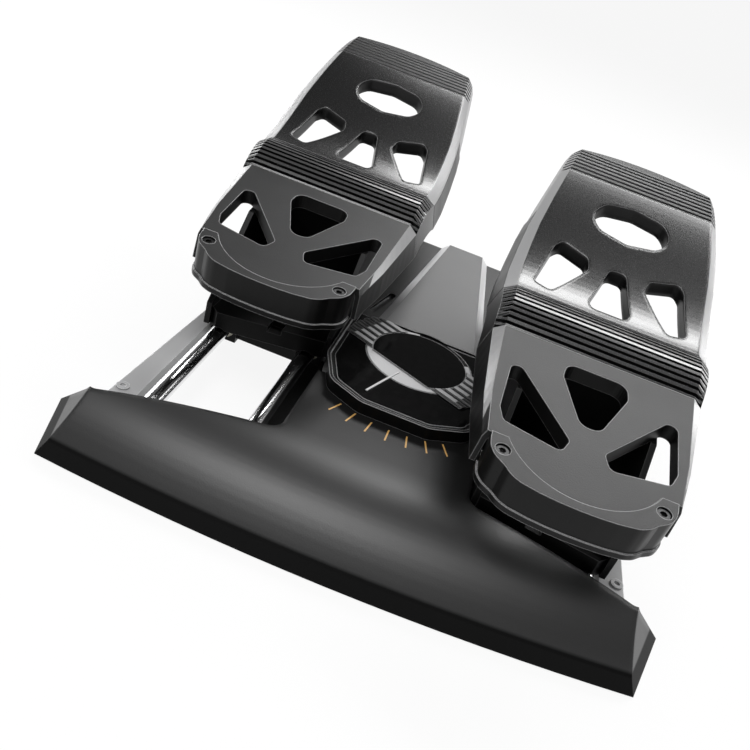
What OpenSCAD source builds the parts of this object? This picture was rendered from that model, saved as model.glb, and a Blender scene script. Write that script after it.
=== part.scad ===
// Rudder pedals for a flight simulator: two foot plates that slide on chrome rails and tip at the toes.
// +X is the user's right, +Y points away from the user, +Z is up; millimetres.
// Each place is first written from the apron's front edge, and in_frame() moves it to the part's origin,
// the middle of the footprint. The left pedal is shown pushed forward and the right one drawn back.

/* [Stance] */
// Distance of each foot plate's centre line from the middle
pedal_x = 98.5; // [92:0.5:104]
// Travel of each carriage to either side of its middle position
half_travel = 47; // [35:1:50]
// How far the apron's ground corners reach past the axes of the outer rails
apron_reach = 55.6; // [50:0.1:60]

/* [Apron] */
// How far the apron's front edge ends inside its ground corners
apron_taper = 15.5; // [12:0.5:20]
// How far the front edge bows towards the user
apron_bow = 10; // [6:0.5:14]
// Height of the dark front face
apron_face_h = 10.5; // [8:0.5:14]
// Height of the apron's crest
apron_h = 38.5; // [37:0.5:42]
// Depth from the front edge to the crest
apron_crest_y = 62; // [58:1:66]
// Wall of the moulded covers
cover_wall = 2.4; // [2:0.1:3]
// Gap beside the stem that runs back between the carriages
stem_gap = 4.9; // [4.4:0.1:6]

/* [Rails] */
// Diameter of a chrome rail
rail_d = 11; // [10:0.5:12]
// Height of the rails' axes above the floor
rail_z = 25; // [24.5:0.1:25.2]
// Distance between the two rails of a pair
rail_pitch = 57.2; // [56:0.1:57.6]
// Distance of each rail pair's centre line from the middle
rail_pair_x = 100.8; // [100:0.1:101]
// Radial running clearance of the slide bushes and hinge pins
run_gap = 0.05; // [0.03:0.01:0.1]

/* [Carriage] */
// Width of a carriage
carriage_w = 75.2; // [74:0.2:75.6]
// Distance of a carriage's front corner from the apron's front edge, at middle position
carriage_y = 89.6; // [88:0.5:92]
// Length of a carriage
carriage_l = 122; // [118:1:124]
// Height of a carriage's top above the floor
carriage_top_z = 42.6; // [42:0.1:44]
// Thickness of a carriage's top plate
carriage_plate_t = 12.3; // [11.5:0.1:12.6]

/* [Foot plate] */
// Distance of the heel's front edge from the apron's front edge, at middle position
heel_y = 55.5; // [54:0.5:58]
// Height of the heel plate's top at its front edge
heel_z = 90.8; // [89:0.1:93]
// Distance of the heel screws from the heel's front edge
heel_screw_dy = 21; // [19:0.5:23]
// Distance between the two heel screws
heel_screw_pitch = 83; // [80:0.5:85]
// Rise of the heel plate's top per millimetre of length
heel_slope = 0.1354; // [0.12:0.005:0.15]
// Distance from the heel's front edge to the ribbed knuckle
knuckle_dy = 125.9; // [124:0.1:128]
// Length of the ribbed knuckle
knuckle_l = 38.4; // [37:0.1:40]
// Height of the toe hinge's axis above the floor
hinge_z = 81.5; // [80:0.1:83]
// Length of the toe plate, level with the floor
toe_l = 144.5; // [136:0.5:150]
// Rise of the toe plate over its length
toe_rise = 58.2; // [52:0.1:62]
// Half width of the foot plate at its widest, the knuckle
foot_half_w = 59.6; // [58:0.1:61]
// Wall of the foot plates
foot_wall = 3; // [2.4:0.1:3.4]
// Depth of the foot plate's side walls
flank_h = 20; // [16:0.5:22]
// Angle that the toe plate tips through
toe_travel = 16; // [10:1:18]

/* [Console] */
// Distance of the console's nose from the apron's front edge
nose_y = 95; // [92:1:98]
// Height of the console's level deck
deck_z = 45.5; // [45:0.1:47]
// Distance of the console's rear wall from the apron's front edge
console_rear_y = 312; // [308:1:316]
// Height of the console's spine at its rear edge
spine_rear_z = 73.5; // [70:0.5:76]
// Distance of the rocker's pivot from the apron's front edge
pivot_y = 168; // [166:1:170]
// Radius of the turning dial
dial_r = 36; // [33:0.5:37]

/* [Hidden] */

// Facets of round surfaces, and of the apron's wide bow
round_fn = 48;
bow_fn = 720;
// Overrun of every cut past the face it opens
over = 1;
// Gap between two covers
seam = 0.3;

// Foot plate: lengths from the apron's front edge, at middle position
knuckle_y0 = heel_y + knuckle_dy;
knuckle_y1 = knuckle_y0 + knuckle_l;
toe_end_y = knuckle_y1 + toe_l;
foot_l = toe_end_y - heel_y;

// Whole length, from the bowed apron's front to the left toe plate's end
frame_y = (toe_end_y + half_travel - apron_bow) / 2;

// Feet, tray and floor clearance
foot_h = 2.5;
tray_t = 2.5;
tray_top = foot_h + tray_t;
tray_front_y = 3;
apron_clear = 1;

// Apron outline
ground_half = rail_pair_x + rail_pitch / 2 + apron_reach;
apron_half = ground_half - apron_taper;
stem_half_w = pedal_x - carriage_w / 2 - stem_gap;
console_step = 0.5;
console_half_w = stem_half_w - console_step;
tip_in = 27.3;
facet_foot_in = 14.7;
root_round = 9;
ground_corner_y = 50;
bow_r = (apron_half * apron_half + apron_bow * apron_bow) / (2 * apron_bow);
fold_dy = 3.5;
tip_x = ground_half - tip_in;
tip_y = 29.7;
root_y = 53;
crest_power = 2.6;
wing_slope = (root_y - tip_y) / (tip_x - stem_half_w);
stem_end_y = 124;
fin_in = 6;
tongue_lap = 0.5;
facet_foot_x = ground_half - facet_foot_in;
facet_cut_l = 200;
apron_steps = 16;
arm_slot_h = 8;
boss_r = 4.5;
apron_screw_y = 20;
block_y0 = apron_screw_y + boss_r + seam;

// Rails
rail_r = rail_d / 2;
rail_y0 = 27;
rail_y1 = 285;
rail_x = [-rail_pair_x - rail_pitch / 2, -rail_pair_x + rail_pitch / 2,
    rail_pair_x - rail_pitch / 2, rail_pair_x + rail_pitch / 2];
housing_half = 9;
block_z1 = rail_z + 1;
cross_y0 = 265;
cross_y1 = 300;
cross_z1 = 34;
cross_wall = 3;
cross_tie_h = 6;

// Side plates
plate_in_off = 10.2;
plate_front_off = 25.3;
plate_rear_off = 14.1;
plate_tongue_off = 21.6;
side_screw_off = 20.2;
plate_in_x = rail_x[3] + plate_in_off;
plate_front_x = rail_x[3] + plate_front_off;
plate_rear_x = rail_x[3] + plate_rear_off;
plate_top_z = 24;
plate_y0 = 34.5;
plate_tongue_x = rail_x[3] + plate_tongue_off;
side_screw_y = 53;
side_screw_x = rail_x[3] + side_screw_off;
side_screw_r = 3.8;
side_screw_h = 1.2;
hex_r = 1.9;

// Carriage: a top plate with bush housings, a front bar and a bar for the drive pin
carriage_half = carriage_w / 2;
plate_skew = 15;
plate_chamfer = 5;
carriage_y1 = carriage_y + carriage_l;
carriage_plate_z = carriage_top_z - carriage_plate_t;
rail_off = rail_pair_x - pedal_x;
bush_r = 7.2;
bush_l = 20;
housing_z0 = rail_z - housing_half;
outer_housing_dy = 15.5;
inner_housing_dy = 28.5;
front_bar_dy = 19.5;
front_bar_z = 17.5;
front_bar_l = 14;
pocket_roof = 3;
pocket_rim = 8;
notch_w = 9;
notch_l = 10;
notch_h = 4;

// Drive pins and the rocker arm that couples the carriages
drive_pin_r = 4;
drive_pin_head_r = 7;
drive_pin_head_h = 2;
drive_pin_z = foot_h + 3;
drive_stem_h = 6;
pin_bar_half = 14;
pin_bar_z = 22;
arm_t = 5;
arm_z = tray_top + 1.5;
arm_half_w = 10;
arm_sweep_y = 44;
rocker_rest = atan(half_travel / pedal_x);
arm_slot_in = pedal_x - drive_pin_r - 1.5;
arm_slot_out = pedal_x / cos(rocker_rest) + drive_pin_r + 1.5;
arm_slot_half = drive_pin_r + 1.9;
arm_end = arm_slot_out + 6;
arm_eye_r = 24;
hub_r = 13;
hub_top = 42.4;
post_r = 5;
post_foot_r = 11;
post_foot_h = 1.2;
post_top = 28;
drag_out_r = 20;
drag_gap = 0.05;
spindle_r = 2.9;
spindle_z = 31;
sensor_r = 9;
sensor_h = 9;
sensor_gap = 0.6;
dial_gap = 0.6;
dial_lift = 0.2;
dial_chord_share = 0.61;
badge_t = 0.8;
badge_r_share = 0.9;
pointer_in = 26;
pointer_out = 63;
pointer_turn = 5;
pointer_w = 1.4;
pointer_t = 0.6;
wing_half = 20.5;
wing_reach = 52.5;
wing_t = 0.6;
wing_slats = 6;
wing_slat_share = 0.5;
wing_slat_h = 0.8;

// Handles of the toe plate's S curve, as shares of its length and rise
toe_handle_shares = [[0.31, 0.075], [0.67, 0.88]];
// Half width of the foot plate's top: [share of the foot plate's length, share of the half width]
width_shares = [[0, 0.772], [0.034, 0.789], [0.068, 0.839], [0.209, 0.923], [0.407, 0.978],
    [0.532, 0.99], [0.597, 1], [0.668, 0.993], [0.727, 0.978], [0.804, 0.931], [0.882, 0.872],
    [0.979, 0.805], [1, 0.789]];
// How far the side walls flare below the top, and their depth, as shares of flank_h
flare_shares = [[0, 0.05], [0.1, 0.12], [0.21, 0.25], [0.41, 0.5], [0.53, 0.6], [0.6, 0.6],
    [0.77, 0.52], [0.9, 0.45], [1, 0.4]];
depth_shares = [[0, 1], [0.41, 1.05], [0.53, 1.05], [0.6, 0.95], [0.8, 0.75], [1, 0.5]];
bevel_share = 0.6;
bevel_drop = 4.5;
knuckle_z0 = heel_z + heel_slope * knuckle_dy;
hinge_share = 0.7;
hinge_y = knuckle_y0 + hinge_share * knuckle_l;
knuckle_r = sqrt(pow(hinge_y - knuckle_y0, 2) + pow(knuckle_z0 - hinge_z, 2));
knuckle_a0 = acos((knuckle_y0 - hinge_y) / knuckle_r);
knuckle_a1 = acos((knuckle_y1 - hinge_y) / knuckle_r);
knuckle_z1 = hinge_z + knuckle_r * sin(knuckle_a1);
groove_d = 1.7;
groove_w = 1.9;
groove_side = 0.35;
knuckle_grooves = 10;
toe_grooves = 7;
toe_groove_pitch = 3.8;
toe_groove_dy = 33;
toe_groove_y0 = toe_end_y - toe_groove_dy;
toe_steps = 24;
toe_arc_h = 7;
toe_corner_half = 48;
toe_arc_r = (toe_corner_half * toe_corner_half + toe_arc_h * toe_arc_h) / (2 * toe_arc_h);
toe_corner_round = 8;
toe_lip_l = 22;
toe_lip_h = 8;

// Toe hinge and its stiffening bracket
hinge_pin_r = 4;
hinge_head_r = 6.5;
hinge_head_h = 2;
ear_t = 2.6;
ear_gap = 0.9;
ear_x = foot_half_w - foot_wall - ear_t - ear_gap;
hinge_pin_half = ear_x + ear_t;
press_gap = 0.01;
tongue_gap = 0.5;
tongue_t = 2.5;
tongue_half = 50;
tongue_steps = 12;
tongue_a0 = 61.5;
tongue_a1 = 98;
bracket_l = 50;
bracket_y1 = knuckle_y1 + bracket_l;
bracket_gap = 0.15;
bracket_h = 9;
bracket_eye_r = 9;

// Pedal frame
web_t = 3.5;
web_y0 = carriage_y + 2;
web_z0 = carriage_plate_z + 0.7;
web_front_z = 46;
web_crest_dy = 34;
web_crest_y = knuckle_y0 - web_crest_dy;
frame_slab_t = 3.4;
frame_slab_dy = 11;
frame_slab_y1 = knuckle_y0 - frame_slab_dy;
frame_wall_dy = 12;
knuckle_flange_t = 2.4;
web_eye_r = 11;

// Heel rim
rim_round = 12;
rim_in_r = 44.6;
rim_in_dy = 5.8;
rim_back_dy = 31;
rim_rise = 0.9;
rim_lid_t = 3;
rim_wall = 2.6;
rim_z0 = 72.5;
rim_bead_h = 3.4;
rim_bead = 0.9;
rim_outline_shares = [[0, 0], [0.1678, 0.0097], [0.3356, 0.0419], [0.5034, 0.1065],
    [0.5872, 0.1935], [0.6544, 0.3387], [0.755, 0.4839], [0.8054, 0.6613], [0.8188, 0.8548], [0.8221, 1]];
screw_head_r = 3.6;
screw_head_h = 3;
screw_clear = 0.4;
screw_r = 2;
screw_l = 12;
screw_boss_r = 4.8;
screw_boss_h = 12;

// Openings of the foot plate: points as shares of its half width and of the heel's or the toe's length
hole_round = 4.2;
mid_hole_round = 7;
slot_round = 10;
collar_t = 1.8;
collar_h = 9;
heel_side_hole_shares = [[0.8138, 0.7307], [0.8138, 0.421], [0.755, 0.3415],
    [0.2181, 0.2899], [0.1594, 0.3733], [0.7131, 0.7347]];
heel_mid_hole_shares = [[-0.302, 0.8896], [0.302, 0.8896], [0.3188, 0.7863],
    [0.0923, 0.4964], [-0.0923, 0.4964], [-0.3188, 0.7863]];
toe_mid_hole_shares = [[-0.0923, 0.3128], [0.0923, 0.3128], [0.2299, 0.0913],
    [0.1846, 0.0498], [-0.1846, 0.0498], [-0.2299, 0.0913]];
toe_side_hole_shares = [[0.3188, 0.2678], [0.3523, 0.3266], [0.6711, 0.3682],
    [0.7416, 0.3336], [0.8557, 0.0879], [0.646, 0.0623]];
toe_slot_shares = [[-0.4866, 0.5689], [-0.3356, 0.6454], [0, 0.6684], [0.3356, 0.6454],
    [0.4866, 0.5689], [0.3356, 0.4964], [0, 0.4694], [-0.3356, 0.4964]];

// Console outline and spine
nose_half = 22;
shoulder_y = 107;
shoulder_half = 45;
full_y = 135;
nose_round = 14;
spine_y = 203;
spine_front_half = 33;
spine_rear_half = 13.5;
spine_front_h = 2;
bevel_w = 5.6;
bevel_h = 5;
lip_w = 2.2;
lip_h = 1.4;
gloss_t = 0.8;
gloss_inset = 5;
dial_top = deck_z + gloss_t + dial_lift;
gloss_y1 = 201;
slot_w = 5;
slot_ends = [[-44.7, 212], [-37, 234]];
slot_depth = 2;

// Electronics inside the console
board_w = 60;
board_l = 38;
board_t = 1.6;
board_y = 238;
board_z = 16;
board_post_r = 2.5;
board_post_inset = 4;
gland_r = 6;
gland_l = 12;
gland_bore_r = 2.8;
gland_z = 20;
toe_sensor_r = 8;
toe_sensor_l = 9;
coil_out_r = 8.5;
coil_half = 16;

// Feet and screws below
pad_r = 11;
pad_places = [[-136, 18], [136, 18], [-62, 18], [62, 18], [-140, 282], [140, 282], [-38, 292], [38, 292]];
apron_screw_places = [[-116, apron_screw_y], [116, apron_screw_y], [-30, apron_screw_y], [30, apron_screw_y],
    [-42, 108], [42, 108]];
console_screw_places = [[-44, 240], [44, 240]];
base_screw_r = 3.2;
base_screw_h = 1.6;
shank_r = 1.5;
shank_l = 9;

// A foot plate's half width, flare and side depth at a place along it
function foot_share(y) = (y - heel_y) / foot_l;
function half_w(y) = foot_half_w * lookup(foot_share(y), width_shares);
function flare(y) = flank_h * lookup(foot_share(y), flare_shares);
function side_h(y) = flank_h * lookup(foot_share(y), depth_shares);

// Top of the foot plate: a straight heel, an arched knuckle and an S curve for the toe
function heel_top(y) = heel_z + heel_slope * (y - heel_y);
function knuckle_top(y) = hinge_z + sqrt(pow(knuckle_r, 2) - pow(y - hinge_y, 2));
function curve(a, b, c, d, t) = a * pow(1 - t, 3) + 3 * b * t * pow(1 - t, 2)
    + 3 * c * t * t * (1 - t) + d * pow(t, 3);
toe_table = [for (i = [0:toe_steps]) let (t = i / toe_steps) [
    knuckle_y1 + toe_l * curve(0, toe_handle_shares[0][0], toe_handle_shares[1][0], 1, t),
    knuckle_z1 + toe_rise * curve(0, toe_handle_shares[0][1], toe_handle_shares[1][1], 1, t)]];
function toe_top(y) = lookup(y, toe_table);
function foot_top(y, which) = which == "heel" ? heel_top(y) : which == "toe" ? toe_top(y) : knuckle_top(y);

// Stations across a groove that starts at y: down, floor, up
function groove_stations(y, w) = [[y, 0], [y + groove_side, groove_d], [y + w - groove_side, groove_d],
    [y + w, 0]];

// Cross-section of a foot cover at one station: an upturned tray with a bevel and flared sides
function cover_ring(y, top, cut) = let (a = half_w(y), f = flare(y), b = a + f, e = a + bevel_share * f,
    zb = top - side_h(y), w = foot_wall, zt = top - cut, ze = top - bevel_drop)
    [[-b, zb], [-e, ze], [-a, zt], [a, zt], [e, ze], [b, zb], [b - w, zb], [e - w, ze - w / 2],
     [a - w, top - w], [-a + w, top - w], [-e + w, ze - w / 2], [-b + w, zb]];
ring_n = 12;

// Solid through the cover_ring sections of a list of [y, cut] stations
module cover_loft(stations, which) {
    n = len(stations);
    points = [for (s = stations) for (p = cover_ring(s[0], foot_top(s[0], which), s[1])) [p[0], s[0], p[1]]];
    sides = [for (i = [0:n - 2], j = [0:ring_n - 1]) let (
        a = i * ring_n + j, b = i * ring_n + (j + 1) % ring_n, c = a + ring_n, d = b + ring_n)
        each [[a, d, b], [a, c, d]]];
    end = (n - 1) * ring_n;
    caps = [for (k = [0:ring_n / 2 - 2]) let (m = ring_n - 2 - k)
        each [[k, k + 1, m], [k, m, m + 1], [end + k, end + m, end + k + 1],
            [end + k, end + m + 1, end + m]]];
    polyhedron(points, concat(sides, caps), convexity = 8);
}

// A slab between two drops below the foot plate's top
module foot_slab(y0, y1, drop0, drop1, half, which) {
    ys = [for (i = [0:toe_steps]) y0 + (y1 - y0) * i / toe_steps];
    rotate([90, 0, 90]) translate([0, 0, -half]) linear_extrude(2 * half)
        polygon(concat([for (y = ys) [y, foot_top(y, which) - drop0]],
            [for (i = [toe_steps:-1:0]) [ys[i], foot_top(ys[i], which) - drop1]]));
}

// An opening's plan, grown by a wall and mirrored for a pair
module hole_plan(shares, which, grow, round_r = hole_round) {
    y0 = which == "heel" ? heel_y : knuckle_y1;
    l = which == "heel" ? knuckle_dy : toe_l;
    offset(r = round_r + grow, $fn = round_fn / 2) offset(delta = -round_r)
        polygon([for (p = shares) [p[0] * foot_half_w, y0 + p[1] * l]]);
}
module heel_holes(grow) {
    hole_plan(heel_side_hole_shares, "heel", grow);
    mirror([1, 0]) hole_plan(heel_side_hole_shares, "heel", grow);
    hole_plan(heel_mid_hole_shares, "heel", grow, mid_hole_round);
}
module toe_holes(grow) {
    hole_plan(toe_side_hole_shares, "toe", grow);
    mirror([1, 0]) hole_plan(toe_side_hole_shares, "toe", grow);
    hole_plan(toe_mid_hole_shares, "toe", grow);
    hole_plan(toe_slot_shares, "toe", grow, slot_round);
}

// Moves places on the base to the part's origin
module in_frame() {
    translate([0, -frame_y, 0]) children();
}

// Moves a right pedal's piece to its carriage; the left one is mirrored. side is -1 or 1
module at_pedal(side) {
    translate([side * pedal_x, -side * half_travel - frame_y, 0])
        mirror([side < 0 ? 1 : 0, 0, 0]) children();
}

module bar_y(x, z, r, y0, y1) {
    translate([x, y0, z]) rotate([-90, 0, 0]) cylinder(r = r, h = y1 - y0, $fn = round_fn);
}

module bar_x(y, z, r, x0, x1) {
    translate([x0, y, z]) rotate([0, 90, 0]) cylinder(r = r, h = x1 - x0, $fn = round_fn);
}

module bar_z(x, y, r, z0, z1) {
    translate([x, y, z0]) cylinder(r = r, h = z1 - z0, $fn = round_fn);
}

module box(x0, x1, y0, y1, z0, z1) {
    translate([x0, y0, z0]) cube([x1 - x0, y1 - y0, z1 - z0]);
}

// Apron: front_y is its bowed edge, apron_z the height of its top
function front_y(x) = x * x / (2 * bow_r) - apron_bow;
function crest_z(t) = apron_h - (apron_h - apron_face_h) * pow(1 - min(t, 1), crest_power);
function apron_z(x, y) = crest_z((y - front_y(x) - fold_dy) / (apron_crest_y - fold_dy));
function apron_back(in) = stem_end_y + (in > 0 ? over : 0);

// The apron's section from front to back, drawn in by a wall
function apron_profile(in, y1) = let (z0 = in > 0 ? -over : apron_clear) concat(
    [[y1, z0], [-apron_bow + in, z0]],
    [for (i = [0:apron_steps]) let (t = i / apron_steps)
        [-apron_bow + fold_dy + in + (apron_crest_y - fold_dy) * t, crest_z(t) - in]],
    [[y1, apron_h - in]]);

// The section swung about a far axis, for the front's bow
module apron_block(in, y1) {
    swing = 2 * asin((ground_half + facet_cut_l / 8) / bow_r);
    translate([0, bow_r - apron_bow, 0]) rotate([0, 0, -90 - swing / 2])
        rotate_extrude(angle = swing, $fn = bow_fn)
            polygon([for (p = apron_profile(in, y1)) [bow_r - apron_bow - p[0], p[1]]]);
}

// Plan of the T-shaped apron, drawn in by a wall but open at the back of its stem
module apron_plan(in) {
    front = front_y(0) - over;
    back = apron_back(in);
    offset(r = -root_round - in, $fn = 2 * round_fn) offset(delta = root_round)
        polygon([[-ground_half, front - in], [ground_half, front - in], [ground_half, ground_corner_y],
            [tip_x, tip_y], [stem_half_w, root_y], [stem_half_w, back + in], [-stem_half_w, back + in],
            [-stem_half_w, root_y], [-tip_x, tip_y], [-ground_half, ground_corner_y]]);
}

// What lies beyond the slanted facet at an end: a plane through the two ground corners and the tip
module facet_cut(side, in) {
    a = [facet_foot_x, 0, apron_clear];
    n = cross([ground_half, ground_corner_y, apron_clear] - a, [tip_x, tip_y, apron_z(tip_x, tip_y)] - a);
    mirror([side < 0 ? 1 : 0, 0, 0]) translate(a) rotate([0, acos(n[2] / norm(n)), atan2(n[1], n[0])])
        translate([-facet_cut_l / 2, -facet_cut_l / 2, -in]) cube(facet_cut_l);
}

module apron_solid(in) {
    difference() {
        intersection() {
            apron_block(in, apron_back(in) + over);
            translate([0, 0, -over]) linear_extrude(apron_h + 2 * over) apron_plan(in);
        }
        for (side = [-1, 1]) facet_cut(side, in);
    }
}

module apron_cover() color([0.13, 0.13, 0.14]) in_frame() {
    difference() {
        union() {
            difference() {
                apron_solid(0);
                apron_solid(cover_wall);
            }
            // Screw bosses down to the tray
            intersection() {
                apron_block(cover_wall / 2, stem_end_y);
                for (p = apron_screw_places) bar_z(p[0], p[1], boss_r, tray_top, apron_h);
            }
        }
        for (x = rail_x) bar_y(x, rail_z, rail_r + seam, rail_y0, root_y + root_round);
        for (side = [-1, 1]) side_plate_tongue(side, seam);
        for (p = apron_screw_places)
            bar_z(p[0], p[1], shank_r + press_gap, 0, foot_h + base_screw_h + shank_l + over);
    }
}

// Base

module base_tray() color([0.08, 0.08, 0.085]) in_frame() {
    in = cover_wall + seam;
    end = tip_x - fin_in - seam;
    end_y = tip_y + (tip_x - end) * wing_slope - in;
    flange_x = rail_x[2] + rail_r;
    difference() {
        translate([0, 0, foot_h]) linear_extrude(tray_t)
            polygon([[-end, tray_front_y], [end, tray_front_y], [end, end_y],
                [stem_half_w - in, root_y - in], [stem_half_w - in, root_y + root_round],
                [flange_x, root_y + root_round], [flange_x, cross_y0], [console_half_w, cross_y0],
                [console_half_w, console_rear_y], [-console_half_w, console_rear_y],
                [-console_half_w, cross_y0], [-flange_x, cross_y0], [-flange_x, root_y + root_round],
                [-stem_half_w + in, root_y + root_round], [-stem_half_w + in, root_y - in], [-end, end_y]]);
        // Slits that the stem's side walls stand in
        for (s = [-1, 1]) box(s > 0 ? stem_half_w - in : -stem_half_w - seam,
            s > 0 ? stem_half_w + seam : in - stem_half_w, root_y, stem_end_y + seam,
            foot_h - over, tray_top + over);
        for (p = concat(apron_screw_places, console_screw_places)) {
            bar_z(p[0], p[1], base_screw_r + press_gap, foot_h - over, foot_h + base_screw_h);
            bar_z(p[0], p[1], shank_r + press_gap, foot_h, tray_top + over);
        }
    }
}

// Saddles that the rails' front ends lie in
module front_rail_block() color([0.1, 0.1, 0.11]) in_frame() {
    in = cover_wall + seam;
    x0 = rail_x[2] - housing_half;
    x1 = rail_x[3] + housing_half;
    difference() {
        for (side = [-1, 1]) translate([0, 0, tray_top]) linear_extrude(block_z1 - tray_top)
            polygon([[side * x0, block_y0], [side * x1, block_y0],
                [side * x1, tip_y + (tip_x - x1) * wing_slope - in],
                [side * x0, tip_y + (tip_x - x0) * wing_slope - in]]);
        for (x = rail_x) bar_y(x, rail_z, rail_r, rail_y0, root_y);
    }
}

module rear_cross_member() color([0.1, 0.1, 0.11]) in_frame() {
    bay = console_half_w - 2 * cover_wall;
    difference() {
        union() {
            for (side = [-1, 1]) box(side > 0 ? console_half_w : -plate_front_x,
                side > 0 ? plate_front_x : -console_half_w, cross_y0, cross_y1, foot_h, cross_z1);
            box(-console_half_w, console_half_w, cross_y0, cross_y1, tray_top, cross_z1);
        }
        // Hollow behind the rails' ends, open to the floor
        for (side = [-1, 1]) box(side > 0 ? console_half_w + cross_wall : -plate_front_x + cross_wall,
            side > 0 ? plate_front_x - cross_wall : -console_half_w - cross_wall,
            rail_y1 + cross_wall, cross_y1 - cross_wall, 0, cross_z1 - cross_wall);
        // Bay under the console
        box(-bay, bay, cross_y0 - over, cross_y1 + over, tray_top + cross_tie_h, cross_z1 + over);
        for (x = rail_x) bar_y(x, rail_z, rail_r, cross_y0 - over, rail_y1);
        for (side = [-1, 1]) side_plate_shape(side, seam);
    }
}

module rail(i) color([0.86, 0.87, 0.88]) in_frame() bar_y(rail_x[i], rail_z, rail_r, rail_y0, rail_y1);
module outer_rail_left() rail(0);
module inner_rail_left() rail(1);
module inner_rail_right() rail(2);
module outer_rail_right() rail(3);

// A flat tapering plate outside each outer rail, with a tongue that rests on the tray
module side_plate_tongue(side, gap) {
    box(side > 0 ? plate_in_x - gap : -plate_tongue_x - gap,
        side > 0 ? plate_tongue_x + gap : -plate_in_x + gap, block_y0 - gap, plate_y0 + tongue_lap,
        gap > 0 ? 0 : tray_top, plate_top_z + gap);
}
module side_plate_shape(side, gap) {
    translate([0, 0, tray_top]) linear_extrude(plate_top_z - tray_top + gap)
        polygon([[side * (plate_in_x - gap), plate_y0 - gap], [side * (plate_front_x + gap), plate_y0 - gap],
            [side * (plate_rear_x + gap), rail_y1 + gap], [side * (plate_in_x - gap), rail_y1 + gap]]);
}

module side_plate(side) color([0.62, 0.62, 0.63]) in_frame() {
    difference() {
        union() {
            side_plate_shape(side, 0);
            side_plate_tongue(side, 0);
        }
        bar_z(side * side_screw_x, side_screw_y, side_screw_r, plate_top_z - side_screw_h,
            plate_top_z + over);
    }
}
module side_plate_left() side_plate(-1);
module side_plate_right() side_plate(1);

module side_plate_screws() color([0.55, 0.55, 0.56]) in_frame() {
    for (side = [-1, 1]) translate([side * side_screw_x, side_screw_y, plate_top_z - side_screw_h])
        difference() {
            cylinder(r = side_screw_r, h = 2 * side_screw_h, $fn = round_fn);
            translate([0, 0, side_screw_h]) cylinder(r = hex_r, h = side_screw_h + over, $fn = 6);
        }
}

// Console

// Outline of the console in plan, with rounded corners, drawn in by a wall
module console_plan(in) {
    half = console_half_w;
    offset(r = nose_round - in, $fn = 2 * round_fn) offset(delta = -nose_round)
        polygon([[-nose_half, nose_y], [nose_half, nose_y], [shoulder_half, shoulder_y], [half, full_y],
            [half, console_rear_y], [-half, console_rear_y], [-half, full_y],
            [-shoulder_half, shoulder_y]]);
}

// The rising spine and its shelves, drawn in by a wall
module console_spine(in) {
    function ring(y, h, z, shelf) = let (o = console_half_w - in) [[-o, y, tray_top - (in > 0 ? over : 0)],
        [-o, y, shelf - in], [-h - bevel_w, y, shelf - in], [-h, y, z - in], [h, y, z - in],
        [h + bevel_w, y, shelf - in], [o, y, shelf - in], [o, y, tray_top - (in > 0 ? over : 0)]];
    points = concat(ring(spine_y + in, spine_front_half, deck_z + spine_front_h, deck_z),
        ring(console_rear_y - in, spine_rear_half, spine_rear_z, spine_rear_z - bevel_h));
    n = 8;
    polyhedron(points, concat([[for (j = [0:n - 1]) j], [for (j = [n - 1:-1:0]) n + j]],
        [for (j = [0:n - 1]) let (k = (j + 1) % n) each [[j, n + k, k], [j, n + j, n + k]]]), convexity = 4);
}

// Height of the shelves beside the spine
function shelf_z(y) = lookup(y, [[spine_y, deck_z], [console_rear_y, spine_rear_z - bevel_h]]);

module dial_plan(gap) {
    translate([0, pivot_y]) circle(r = dial_r + gap, $fn = 2 * round_fn);
}

module console_cover() color([0.09, 0.09, 0.095]) in_frame() {
    difference() {
        union() {
            difference() {
                union() {
                    translate([0, 0, tray_top]) linear_extrude(deck_z - tray_top) console_plan(0);
                    console_spine(0);
                }
                translate([0, 0, -over]) linear_extrude(deck_z - cover_wall + over) console_plan(cover_wall);
                console_spine(cover_wall);
            }
            // Raised lip round the deck's front
            translate([0, 0, deck_z - lip_h]) linear_extrude(2 * lip_h) intersection() {
                difference() {
                    console_plan(0);
                    console_plan(lip_w);
                }
                translate([-console_half_w, 0]) square([2 * console_half_w, spine_y]);
            }
            // Screw bosses
            for (p = console_screw_places)
                bar_z(p[0], p[1], boss_r, tray_top, shelf_z(p[1]) - cover_wall / 2);
        }
        // Below the apron's top the nose makes way for the stem
        box(-stem_half_w - over, stem_half_w + over, 0, stem_end_y + seam, 0, apron_h);
        translate([0, 0, deck_z - 2 * cover_wall]) linear_extrude(spine_rear_z) dial_plan(dial_gap);
        // Slots for the rocker arm, the cross member and the cable gland
        box(-stem_half_w - over, stem_half_w + over, pivot_y - arm_sweep_y, pivot_y + arm_sweep_y,
            tray_top - over, tray_top + arm_slot_h);
        box(-ground_half, ground_half, cross_y0 - seam, cross_y1 + seam, 0, cross_z1 + seam);
        bar_y(0, gland_z, gland_r, console_rear_y - 2 * cover_wall, console_rear_y + over);
        for (p = console_screw_places)
            bar_z(p[0], p[1], shank_r + press_gap, 0, foot_h + base_screw_h + shank_l + over);
        // Dark slot at the foot of the left bevel
        hull() for (p = slot_ends) translate([p[0], p[1], shelf_z(p[1]) - slot_depth])
            cylinder(r = slot_w / 2, h = deck_z, $fn = round_fn / 2);
    }
}

// Gloss plate round the dial
module gloss_plate() color([0.02, 0.02, 0.022]) in_frame() {
    translate([0, 0, deck_z]) linear_extrude(gloss_t) difference() {
        intersection() {
            console_plan(gloss_inset);
            translate([-console_half_w, 0]) square([2 * console_half_w, gloss_y1]);
        }
        dial_plan(dial_gap);
    }
}

module pivot_post() color([0.6, 0.61, 0.62]) in_frame() {
    bar_z(0, pivot_y, post_r, tray_top, post_top);
    bar_z(0, pivot_y, post_foot_r, tray_top, tray_top + post_foot_h);
}

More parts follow.
